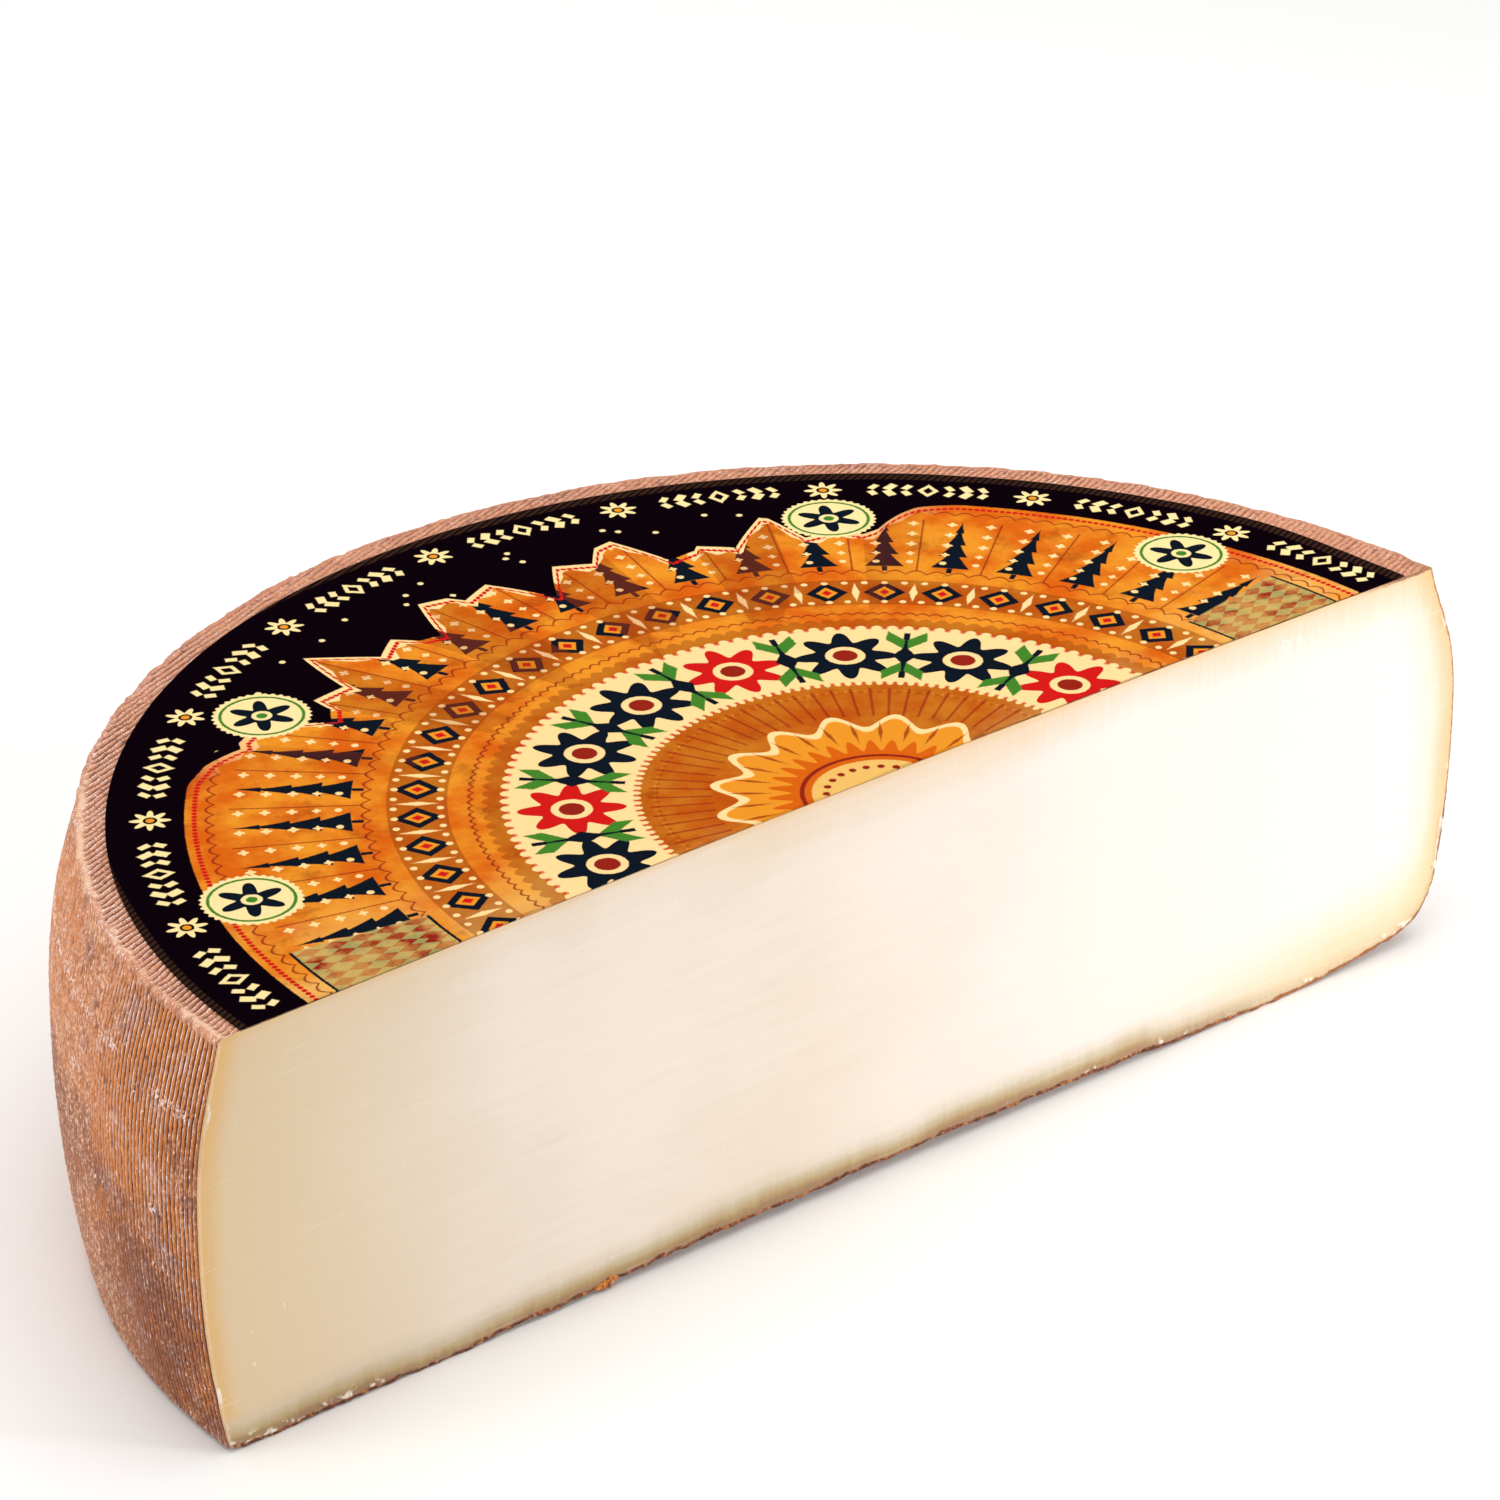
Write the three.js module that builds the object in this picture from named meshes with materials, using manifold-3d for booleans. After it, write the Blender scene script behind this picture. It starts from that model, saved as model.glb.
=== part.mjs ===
// Half a wheel of alpine cheese, standing on its base, cut through the middle with a knife,
// with a thin printed round label on its top that was cut along with it.
// Millimetres, +Z up. The cut face looks along -Y. The shapes are worked out round the wheel's
// axis, and the finished half is then moved so that the middle of its base is the origin.

import * as THREE from "three";
import { mergeVertices, toCreasedNormals } from "three/addons/utils/BufferGeometryUtils.js";
import Module from "manifold-3d";

const wasm = await Module();
wasm.setup();

// The wheel
const wheelHeight = 93.6;
const waistRadius = 172.5;       // where the side bulges most
const waistHeight = 52;
const outOfRound = 0.8;          // wider along the cut than across it
const topInset = 7.7;            // from the waist in to the top edge
const topInsetLean = 1.4;        // more of it at the right end, less at the left
const topShoulder = 2.6;         // powers of the curve from the waist up to the top edge
const topShoulderTurn = 1.4;
const baseInset = 6.8;           // from the waist in to the base edge
const baseInsetLean = 1.1;
const baseShoulder = 2.3;
const crownRise = 1.3;           // the top is slightly domed
const topBead = 0.9;             // size of the rounding along the top edge
const baseEdgeLift = 1.1;        // the rim of the base stands a little clear of the floor
const baseEdgeBand = 9;
const settling = 0.45;           // slow unevenness of the side
const edgeLumps = 0.3;           // short unevenness of both edges

// The ridges that the mould's cloth pressed into the side
const ridgePitch = 1.6;
const ridgeDepth = 0.32;
const ridgeFadeAtBase = 9;
const ridgeFadeAtTop = 8;

// The knife's cut, and the base, which is arched where it shows at the cut
const cutBehindAxis = 4.5;
const baseArchRise = 2.3;
const baseArchHalfSpan = 108;
const baseArchDepth = 40;
const wornCornerStart = 128;     // the base corner is worn away at the right end of the cut
const wornCornerSpan = 39;
const wornCornerLift = 3.6;
const wornCornerCurl = { rise: 5.5, power: 10 };

// The flake of rind that the knife pulled down at the base edge
const flake = { x: -71, width: 7.2, depth: 2.6, height: 2.6, tilt: 0.2 };

// The label
const labelRadius = 159.5;
const labelCentre = { x: -1.8, y: -2.1 };
const labelCorner = { inset: 2.3, from: 0.09, to: 0.34 };   // its right end comes in a little
const labelThickness = 0.25;
const labelGap = 0.1;

// How finely the surfaces are divided
const fullTurn = 2 * Math.PI;
const ridgeColumns = 2 * Math.round(fullTurn * waistRadius / ridgePitch);
const edgeColumns = 240;
const domeColumns = 80;
const sideHeights = [5, 21, 38, 56, 74, 87];
const domeRadii = [155, 110, 60];
const labelRingShares = [0.35, 0.68, 1];
const cutSlices = 100;

// Slow waves round the wheel, from -1 to 1
function slowWave(angle, height) {
  const climb = height / wheelHeight;
  return 0.5 * Math.sin(3 * angle + 1.1 + 2 * climb)
    + 0.3 * Math.sin(7 * angle + 0.4 - 3 * climb)
    + 0.2 * Math.sin(11 * angle + 2.3 + 5 * climb);
}

// Short waves along an edge, from -1 to 1
function shortWave(angle) {
  return 0.5 * Math.sin(37 * angle + 0.7)
    + 0.3 * Math.sin(53 * angle + 2.1)
    + 0.2 * Math.sin(71 * angle + 1.3);
}

// How far the side lies inside the waist at a height: nothing at the waist, most at the edges
function sideInset(angle, height) {
  const towardsRight = Math.cos(angle);
  if (height > waistHeight) {
    const rise = (height - waistHeight) / (wheelHeight - waistHeight);
    const share = 1 - (1 - rise ** topShoulder) ** topShoulderTurn;
    return share * (topInset + topInsetLean * towardsRight);
  }
  const fall = (waistHeight - height) / waistHeight;
  return fall ** baseShoulder * (baseInset + baseInsetLean * towardsRight);
}

function sideRadius(angle, height) {
  return waistRadius
    + outOfRound * Math.cos(2 * angle)
    + settling * slowWave(angle, height)
    - sideInset(angle, height);
}

// Every second column of the side is a groove, which fades out towards both edges
function grooveDepth(column, height) {
  const aboveBase = THREE.MathUtils.smoothstep(height, 0, ridgeFadeAtBase);
  const belowTop = THREE.MathUtils.smoothstep(wheelHeight - height, 0, ridgeFadeAtTop);
  return column % 2 ? ridgeDepth * aboveBase * belowTop : 0;
}

// Height of the domed top at a distance from the wheel's axis
function domeHeight(distance) {
  const edge = waistRadius - topInset;
  return wheelHeight + crownRise * (1 - (distance / edge) ** 2);
}

// A ring of points round the axis, with its radius and height given for each angle
function ring(columns, radiusAt, heightAt) {
  return Array.from({ length: columns }, (_, column) => {
    const angle = fullTurn * column / columns;
    const radius = radiusAt(angle, column);
    return new THREE.Vector3(radius * Math.cos(angle), radius * Math.sin(angle), heightAt(angle));
  });
}

// Triangles between two rings, walked side by side, whatever the number of points in each
function bandTriangles(lower, upper, lowerStart, upperStart) {
  const triangles = [];
  const lowerSteps = lower.length > 1 ? lower.length : 0;
  const upperSteps = upper.length > 1 ? upper.length : 0;
  let i = 0;
  let j = 0;
  while (i < lowerSteps || j < upperSteps) {
    const lowerPoint = lowerStart + i % lower.length;
    const upperPoint = upperStart + j % upper.length;
    const lowerIsBehind = (i + 1) * upperSteps <= (j + 1) * lowerSteps;
    if (j >= upperSteps || (i < lowerSteps && lowerIsBehind)) {
      i += 1;
      triangles.push(lowerPoint, lowerStart + i % lower.length, upperPoint);
    } else {
      j += 1;
      triangles.push(lowerPoint, upperStart + j % upper.length, upperPoint);
    }
  }
  return triangles;
}

// A closed body from rings, the first and the last of which are single points
function bodyFromRings(rings) {
  const triangles = [];
  let start = 0;
  for (let level = 0; level + 1 < rings.length; level += 1) {
    const next = start + rings[level].length;
    triangles.push(...bandTriangles(rings[level], rings[level + 1], start, next));
    start = next;
  }
  const geometry = new THREE.BufferGeometry().setFromPoints(rings.flat());
  geometry.setIndex(triangles);
  return geometry;
}

function toSolid(geometry) {
  const bare = geometry.clone();
  bare.deleteAttribute("normal");
  bare.deleteAttribute("uv");
  const merged = mergeVertices(bare);
  return new wasm.Manifold(new wasm.Mesh({
    numProp: 3,
    vertProperties: new Float32Array(merged.attributes.position.array),
    triVerts: new Uint32Array(merged.index.array),
  }));
}

function toGeometry(solid) {
  const mesh = solid.getMesh();
  const geometry = new THREE.BufferGeometry();
  geometry.setAttribute("position", new THREE.BufferAttribute(mesh.vertProperties, 3));
  geometry.setIndex(new THREE.BufferAttribute(mesh.triVerts, 1));
  return toCreasedNormals(geometry, Math.PI / 5);
}

// The whole wheel, from the middle of its base, out round the side, to the middle of its top.
// Its base hangs below the floor's level, where behindTheCut trims it flat.
function wholeWheel() {
  const baseRing = (inset, lift) => ring(
    edgeColumns,
    (angle) => sideRadius(angle, 0) - inset,
    (angle) => lift * (1 + edgeLumps * shortWave(angle)),
  );
  const sideRing = (height) => ring(
    ridgeColumns,
    (angle, column) => sideRadius(angle, height) - grooveDepth(column, height),
    () => height,
  );
  const topRing = (inset, drop) => ring(
    edgeColumns,
    (angle) => sideRadius(angle, wheelHeight) - inset + edgeLumps * shortWave(angle),
    () => wheelHeight - drop,
  );
  const domeRing = (radius) => ring(domeColumns, () => radius, () => domeHeight(radius));
  return bodyFromRings([
    [new THREE.Vector3(0, 0, -baseEdgeLift)],
    baseRing(baseEdgeBand, -baseEdgeLift),
    baseRing(0, baseEdgeLift),
    ...sideHeights.map(sideRing),
    topRing(0, topBead),
    topRing(topBead, 0),
    ...domeRadii.map(domeRing),
    [new THREE.Vector3(0, 0, domeHeight(0))],
  ]);
}

// Height of the base's front edge above the floor, along the cut
function baseLiftAtCut(x) {
  const arch = Math.max(0, 1 - (x / baseArchHalfSpan) ** 2);
  const corner = THREE.MathUtils.clamp((x - wornCornerStart) / wornCornerSpan, 0, 1.1);
  const curl = wornCornerCurl.rise * corner ** wornCornerCurl.power;
  return baseArchRise * arch + wornCornerLift * corner + curl;
}

// All that lies behind the knife's cut and above the floor, as slices from left to right that
// lie closer together towards both ends
function behindTheCut() {
  const reach = waistRadius + 10;
  const top = wheelHeight + 10;
  const slices = Array.from({ length: cutSlices + 1 }, (_, slice) => {
    const x = reach * Math.sin(Math.PI * (slice / cutSlices - 0.5));
    return [
      new THREE.Vector3(x, cutBehindAxis, baseLiftAtCut(x)),
      new THREE.Vector3(x, cutBehindAxis + baseArchDepth, 0),
      new THREE.Vector3(x, reach, 0),
      new THREE.Vector3(x, reach, top),
      new THREE.Vector3(x, cutBehindAxis, top),
    ];
  });
  return bodyFromRings([
    [new THREE.Vector3(-reach, reach / 2, top / 2)],
    ...slices,
    [new THREE.Vector3(reach, reach / 2, top / 2)],
  ]);
}

// The flake is a small lump fused to the base edge, half of it proud of the cut
function rindFlake() {
  const geometry = new THREE.IcosahedronGeometry(0.5, 1);
  geometry.scale(flake.width, flake.depth, flake.height);
  geometry.rotateY(-flake.tilt);
  geometry.translate(flake.x, cutBehindAxis + flake.depth / 8, baseLiftAtCut(flake.x) + flake.height / 16);
  return geometry;
}

// The label is a round sheet that follows the dome of the top and is trimmed by the same cut
function wholeLabel() {
  const outline = (angle) => {
    const awayFromCorner = THREE.MathUtils.smoothstep(angle, labelCorner.from, labelCorner.to);
    return labelRadius - labelCorner.inset * (1 - awayFromCorner);
  };
  const labelRing = (share, lift) => {
    const points = ring(domeColumns, (angle) => share * outline(angle), () => 0);
    points.forEach((point) => {
      point.x += labelCentre.x;
      point.y += labelCentre.y;
      point.z = domeHeight(Math.hypot(point.x, point.y)) + lift;
    });
    return points;
  };
  const upper = labelGap + labelThickness;
  return bodyFromRings([
    labelRing(0, labelGap).slice(0, 1),
    ...labelRingShares.map((share) => labelRing(share, labelGap)),
    ...labelRingShares.toReversed().map((share) => labelRing(share, upper)),
    labelRing(0, upper).slice(0, 1),
  ]);
}

function namedMesh(name, solid, look) {
  const mesh = new THREE.Mesh(toGeometry(solid), new THREE.MeshStandardMaterial(look));
  mesh.name = name;
  return mesh;
}

const kept = toSolid(behindTheCut());
const cheeseSolid = toSolid(wholeWheel()).intersect(kept).add(toSolid(rindFlake()));
const labelSolid = toSolid(wholeLabel()).intersect(kept);

const halfWheel = new THREE.Group();
halfWheel.add(
  namedMesh("cheese", cheeseSolid, { color: 0xe8cfa6, roughness: 0.6, metalness: 0 }),
  namedMesh("label", labelSolid, { color: 0xd98a2f, roughness: 0.4, metalness: 0 }),
);

const extent = new THREE.Box3().setFromObject(halfWheel);
const middle = extent.getCenter(new THREE.Vector3());
halfWheel.position.set(-middle.x, -middle.y, -extent.min.z);

export default halfWheel;
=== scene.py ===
import math
import bmesh
import bpy
import numpy as np
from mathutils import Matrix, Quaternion, Vector


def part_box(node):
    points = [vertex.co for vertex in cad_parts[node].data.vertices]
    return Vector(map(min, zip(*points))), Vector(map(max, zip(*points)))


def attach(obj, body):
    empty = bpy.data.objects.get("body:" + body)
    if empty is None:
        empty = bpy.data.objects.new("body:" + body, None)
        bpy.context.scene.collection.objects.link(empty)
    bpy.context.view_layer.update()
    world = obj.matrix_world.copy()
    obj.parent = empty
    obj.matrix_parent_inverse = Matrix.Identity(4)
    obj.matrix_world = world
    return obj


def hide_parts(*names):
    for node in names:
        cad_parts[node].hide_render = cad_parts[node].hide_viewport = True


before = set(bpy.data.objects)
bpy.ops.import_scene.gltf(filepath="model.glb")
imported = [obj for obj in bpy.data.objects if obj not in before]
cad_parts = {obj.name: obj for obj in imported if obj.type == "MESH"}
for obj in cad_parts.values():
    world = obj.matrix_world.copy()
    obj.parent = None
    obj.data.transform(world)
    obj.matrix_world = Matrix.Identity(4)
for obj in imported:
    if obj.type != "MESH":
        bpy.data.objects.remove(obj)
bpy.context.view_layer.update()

mm = 0.001
cheeseLow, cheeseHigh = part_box("cheese")
labelLow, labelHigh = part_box("label")
print("frame loaded: the cheese is", [round(v / mm, 1) for v in cheeseHigh - cheeseLow], "mm")

# the wheel's form, as the solids have it
wheel = {
    "cutY": labelLow.y,
    "axisY": labelLow.y - 4.5 * mm,         # the knife passed this far behind the axis
    "height": 93.6 * mm,
    "waistRadius": 172.5 * mm,
    "waistHeight": 52 * mm,
    "outOfRound": 0.8 * mm,
    "topInset": 7.7 * mm,
    "topInsetLean": 1.4 * mm,
    "topShoulder": (2.6, 1.4),
    "baseInset": 6.8 * mm,
    "baseInsetLean": 1.1 * mm,
    "baseShoulder": 2.3,
    "crownRise": 1.3 * mm,
    "bead": 0.9 * mm,
    "baseEdgeLift": 1.1 * mm,
    "baseEdgeBand": 9 * mm,
    "settling": 0.45 * mm,
    "archRise": 2.3 * mm,
    "archHalfSpan": 108 * mm,
    "archDepth": 40 * mm,
    "wornStart": 128 * mm,
    "wornSpan": 39 * mm,
    "wornLift": 3.6 * mm,
    "wornCurl": (5.5 * mm, 10),
    "raggedBase": 0.3 * mm,                 # small waves of the base edge along the cut
}


# smooth noise from -1 to 1: seeded values on whole-number points, blended with t²(3 - 2t)
def latticeNoise(x, y, seed):
    values = np.random.default_rng(seed).uniform(-1, 1, (256, 256))
    column, row = np.floor(x).astype(int), np.floor(y).astype(int)
    tx, ty = x - column, y - row
    tx, ty = tx * tx * (3 - 2 * tx), ty * ty * (3 - 2 * ty)

    def corner(right, up):
        return values[(column + right) % 256, (row + up) % 256]

    near = corner(0, 0) * (1 - tx) + corner(1, 0) * tx
    far = corner(0, 1) * (1 - tx) + corner(1, 1) * tx
    return near * (1 - ty) + far * ty


# t²(3 - 2t) of x between two edges, as 0 before the first and 1 after the second
def smoothStep(edgeFrom, edgeTo, x):
    t = np.clip((x - edgeFrom) / (edgeTo - edgeFrom), 0, 1)
    return t * t * (3 - 2 * t)


# the slow unevenness: three sines round the wheel, turned a little with the height
def slowWave(angle, z):
    climb = z / wheel["height"]
    return (0.5 * np.sin(3 * angle + 1.1 + 2 * climb) + 0.3 * np.sin(7 * angle + 0.4 - 3 * climb)
            + 0.2 * np.sin(11 * angle + 2.3 + 5 * climb))


# how far the side lies inside the waist: 1 - (1 - t^a)^b of the inset above it, t^c below
def sideInset(angle, z):
    lean = np.cos(angle)
    rise = np.clip((z - wheel["waistHeight"]) / (wheel["height"] - wheel["waistHeight"]), 0, 1)
    fall = np.clip((wheel["waistHeight"] - z) / wheel["waistHeight"], 0, 1)
    power, turn = wheel["topShoulder"]
    above = (1 - (1 - rise ** power) ** turn) * (wheel["topInset"] + wheel["topInsetLean"] * lean)
    below = fall ** wheel["baseShoulder"] * (wheel["baseInset"] + wheel["baseInsetLean"] * lean)
    return above + below


def sideRadius(angle, z):
    return (wheel["waistRadius"] + wheel["outOfRound"] * np.cos(2 * angle)
            + wheel["settling"] * slowWave(angle, z) - sideInset(angle, z))


# height of the domed top: a parabola over the distance from the axis
def domeHeight(distance):
    edge = wheel["waistRadius"] - wheel["topInset"]
    return wheel["height"] + wheel["crownRise"] * (1 - (distance / edge) ** 2)


# underside: the rim rises as a cone, and the front is arched and worn where it meets the cut
def baseHeight(x, y):
    across = y - wheel["axisY"]
    angle = np.arctan2(across, x)
    inward = sideRadius(angle, 0 * x) - np.hypot(x, across)
    rim = wheel["baseEdgeLift"] * (1 - 2 * inward / wheel["baseEdgeBand"])
    arch = wheel["archRise"] * np.clip(1 - (x / wheel["archHalfSpan"]) ** 2, 0, 1)
    corner = np.clip((x - wheel["wornStart"]) / wheel["wornSpan"], 0, 1.1)
    curl, power = wheel["wornCurl"]
    worn = wheel["wornLift"] * corner + curl * corner ** power
    behind = y - wheel["cutY"]
    front = (arch + worn) * np.clip(1 - behind / wheel["archDepth"], 0, 1)
    ragged = latticeNoise(x / (7 * mm), 0 * x, 5) + 0.6 * latticeNoise(x / (2.6 * mm), 0 * x, 6)
    ragged = wheel["raggedBase"] * (0.6 + ragged) * np.clip(1 - behind / (8 * mm), 0, 1)
    return np.maximum(0, np.maximum(rim, front + ragged))


# faces of a grid of points: rows are joined in a ring, and the two end columns are capped.
# The volume under the faces, a sum of a . (b x c) / 6, tells whether they look outwards.
def closedGrid(name, points, attributes):
    rows, columns = points.shape[:2]
    index = np.arange(rows * columns).reshape(rows, columns)
    below = np.roll(index, -1, axis=0)
    quads = np.stack([index[:, :-1], index[:, 1:], below[:, 1:], below[:, :-1]], axis=-1)
    quads = quads.reshape(-1, 4)
    flat = points.reshape(-1, 3)
    a, b, c, d = (flat[quads[:, corner]] for corner in range(4))
    volume = np.einsum("ij,ij->", a, np.cross(b, c)) + np.einsum("ij,ij->", a, np.cross(c, d))
    faces = quads.tolist() + [index[:, 0].tolist(), index[::-1, -1].tolist()]
    if volume < 0:
        faces = [face[::-1] for face in faces]
    mesh = bpy.data.meshes.new(name)
    mesh.from_pydata(flat, [], faces)
    for key, values in attributes.items():
        layer = mesh.attributes.new(key, "FLOAT", "POINT")
        layer.data.foreach_set("value", np.ascontiguousarray(values, np.float32).ravel())
    whole = bmesh.new()
    whole.from_mesh(mesh)
    bmesh.ops.remove_doubles(whole, verts=whole.verts, dist=0.002 * mm)
    whole.to_mesh(mesh)
    whole.free()
    mesh.shade_smooth()
    mesh.set_sharp_from_angle(angle=math.radians(58))
    piece = bpy.data.objects.new(name, mesh)
    bpy.context.scene.collection.objects.link(piece)
    return piece


def finishPiece(piece, material, node):
    piece.data.materials.append(material)
    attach(piece, "root")
    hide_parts(node)
    print("made", piece.name, len(piece.data.polygons), "faces")


# polar rows about a centre before the cut: each row keeps its own angles so that it ends on the cut
def rowAngles(u, radius, centreY, frontY):
    start = np.arcsin(np.clip((frontY - centreY) / radius, -1, 1))
    return start + u * (math.pi - 2 * start)


# placed by angle, radius and height round the axis, and held behind the cut
def aroundAxis(angle, radius, z, frontY):
    x = radius * np.cos(angle)
    y = np.maximum(wheel["axisY"] + radius * np.sin(angle), frontY)
    return np.stack([x, y, z + 0 * x], axis=-1)


rind = {
    "thickness": 1.2 * mm,
    "recess": 0.15 * mm,             # its end lies this far behind the cut face
    "ridgePitch": 1.6 * mm,
    "ridgeDepth": 0.5 * mm,
    "ridgeRoundness": 0.7,           # below 1 the ridges are broad and the grooves narrow
    "ridgeWander": 0.13,             # in turns of a ridge
    "meal": 0.15 * mm,
    "lumps": 0.3 * mm,               # along the top edge
    "seamRise": 0.4 * mm,            # the pale seam that stands up along the top edge
    "seamWidth": 0.95 * mm,
    "seamIn": 1.1 * mm,
    "weavePitch": 1.45 * mm,
    "weaveDepth": 0.38 * mm,
    "weaveTurn": math.radians(20),   # the cloth's ribs, from the cut's direction
    "beltHeight": 75.7 * mm,         # a faint pale line round the side
    "knotAngle": math.radians(172.87),
    "knotHeight": 50.5 * mm,
    "knotRise": 0.5 * mm,
    "dustRise": 0.15 * mm,
    "panels": 5,
    "panelColumns": 441,
    "sideRows": 200,
    "rimRows": 26,
    "baseColumns": 420,
}
rindFrontY = wheel["cutY"] + rind["recess"]


# the pressed ridges: cosine and sine of the angle times their number, wandering with noise
def ridgeWaves(angle, z):
    along = angle * wheel["waistRadius"]
    count = round(2 * math.pi * wheel["waistRadius"] / rind["ridgePitch"])
    wander = rind["ridgeWander"] * (latticeNoise(along / (9 * mm), z / (26 * mm), 11)
                                    + 0.8 * latticeNoise(along / (2.3 * mm), z / (6 * mm), 12))
    phase = count * angle + 2 * math.pi * wander
    patch = latticeNoise(along / (16 * mm), z / (20 * mm), 13)
    broken = latticeNoise(along / (1.7 * mm), z / (3.5 * mm), 14)
    away = smoothStep(math.radians(8), math.radians(24), math.pi - angle)
    low = 1 - smoothStep(8 * mm, 38 * mm, z)
    strength = 1.0 - 0.45 * away - (0.1 + 0.3 * away) * low
    strength = np.clip(strength + 0.35 * patch + 0.3 * broken, 0.08, 1)
    strength = strength * smoothStep(0, 5 * mm, z) * smoothStep(0.4 * mm, 2.2 * mm, wheel["height"] - z)
    return np.cos(phase), np.sin(phase), strength


# uneven lumps along the top edge, from two noises of the way round
def edgeLump(angle):
    along = angle * wheel["waistRadius"]
    return rind["lumps"] * (latticeNoise(along / (5 * mm), 0 * along, 21)
                            + 0.7 * latticeNoise(along / (1.9 * mm), 0 * along, 22))


# pale dusting on the side: thin patches along the belt line and in single spots, and a painted highlight on
# the knot
def sideDustAndKnotGlint(angle, z):
    along = angle * wheel["waistRadius"]
    line = z - rind["beltHeight"] + 0.8 * mm * latticeNoise(along / (12 * mm), 0 * along, 23)
    dashes = np.clip(latticeNoise(along / (5 * mm), z / (3 * mm), 24) * 0.9 + 0.72, 0, 1)
    belt = 0.62 * np.exp(-(line / (2.0 * mm)) ** 2) * dashes
    spots = np.clip((latticeNoise(along / (1.8 * mm), z / (1.8 * mm), 25) - 0.93) * 14, 0, 1)
    knot = np.exp(-((along - rind["knotAngle"] * wheel["waistRadius"]) ** 2
                    + (z - rind["knotHeight"]) ** 2) / (1.3 * mm) ** 2)
    # the knot's bell joins the pale mark: a painted highlight on the raised knot
    return np.clip(belt + spots + knot, 0, 1), knot


# the rind's side: the radius less the grooves, which are (0.5 + 0.5 cosine)^roundness deep,
# plus meal as two noises, the edge's lumps and a hollow beside the knot
def sideSurface(angle, z):
    cosine, sine, strength = ridgeWaves(angle, z)
    crest = (0.5 + 0.5 * cosine) ** rind["ridgeRoundness"]
    along = angle * wheel["waistRadius"]
    meal = (latticeNoise(along / (0.8 * mm), z / (1.1 * mm), 15)
            + 0.6 * latticeNoise(along / (2.3 * mm), z / (2.8 * mm), 16))
    lumps = edgeLump(angle) * smoothStep(wheel["height"] - 5 * mm, wheel["height"] - wheel["bead"], z)
    dustAndKnotGlint, knot = sideDustAndKnotGlint(angle, z)
    hollow = sideDustAndKnotGlint(angle - 0.012, z + 1.2 * mm)[1]
    radius = (sideRadius(angle, z) - rind["ridgeDepth"] * (1 - crest) * strength
              + rind["meal"] * meal * (1 - 0.5 * strength) + lumps
              + rind["knotRise"] * (knot - hollow) + rind["dustRise"] * dustAndKnotGlint)
    marks = {"crest": 1 - (1 - crest) * strength, "slope": -sine * strength, "meal": meal / 1.6,
             "worn": 1 - strength, "dustAndKnotGlint": dustAndKnotGlint, "hollow": hollow}
    return radius, marks


# rows of marks put one under the other, with plain rows below them: a mark not given is 0
def stackMarks(*parts, plainRows=0):
    plain = np.zeros((plainRows, parts[0]["meal"].shape[1]))
    names = ("crest", "slope", "meal", "worn", "dustAndKnotGlint", "hollow", "rim", "seam")
    return {name: np.concatenate([part.get(name, 0) + 0 * part["meal"] for part in parts] + [plain])
            for name in names}


def makeRindPanel(number):
    share = np.linspace(0, 1, rind["panelColumns"])[None, :]
    u = (number + share) / rind["panels"]
    zTop = wheel["height"] - wheel["bead"]
    z = np.linspace(zTop, wheel["baseEdgeLift"], rind["sideRows"])[:, None]
    angle = rowAngles(u, wheel["waistRadius"], wheel["axisY"], rindFrontY) + 0 * z
    radius, marks = sideSurface(angle, z)
    outer = aroundAxis(angle, radius, z, rindFrontY)
    outer[..., 2] = np.maximum(outer[..., 2], baseHeight(outer[..., 0], outer[..., 1]))
    zBack = np.array([0.03, 0.35, 0.65, 0.97])[:, None] * zTop
    backAngle = angle[:1] + 0 * zBack
    inner = aroundAxis(backAngle, sideRadius(backAngle, zBack) - rind["thickness"], zBack, rindFrontY)
    inner[..., 2] = np.maximum(inner[..., 2], baseHeight(inner[..., 0], inner[..., 1]) + rind["thickness"])
    points = np.concatenate([outer, inner])
    return closedGrid(f"rindSide{number + 1}", points, stackMarks(marks, plainRows=len(inner)))


# the cloth's ribs on the top: cosine and sine across them, in dashes along them, clearest at the left
def weaveWaves(x, y):
    turn = rind["weaveTurn"]
    alongRib = x * math.cos(turn) + y * math.sin(turn)
    acrossRib = y * math.cos(turn) - x * math.sin(turn)
    wander = (0.2 * latticeNoise(x / (5 * mm), y / (5 * mm), 31)
              + 0.12 * latticeNoise(x / (1.7 * mm), y / (1.7 * mm), 39))
    phase = 2 * math.pi * (acrossRib / rind["weavePitch"] + wander)
    dash = 0.5 + 0.5 * latticeNoise(alongRib / (1.9 * mm), acrossRib / (0.9 * mm), 32)
    patch = np.clip(0.9 + 0.6 * latticeNoise(x / (11 * mm), y / (11 * mm), 33), 0.25, 1)
    clear = 1 - smoothStep(-120 * mm, -20 * mm, x)
    power = (0.2 + 0.5 * clear + (0.45 - 0.1 * clear) * dash) * patch
    return 0.5 + 0.5 * np.cos(phase), np.sin(phase), power


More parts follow.
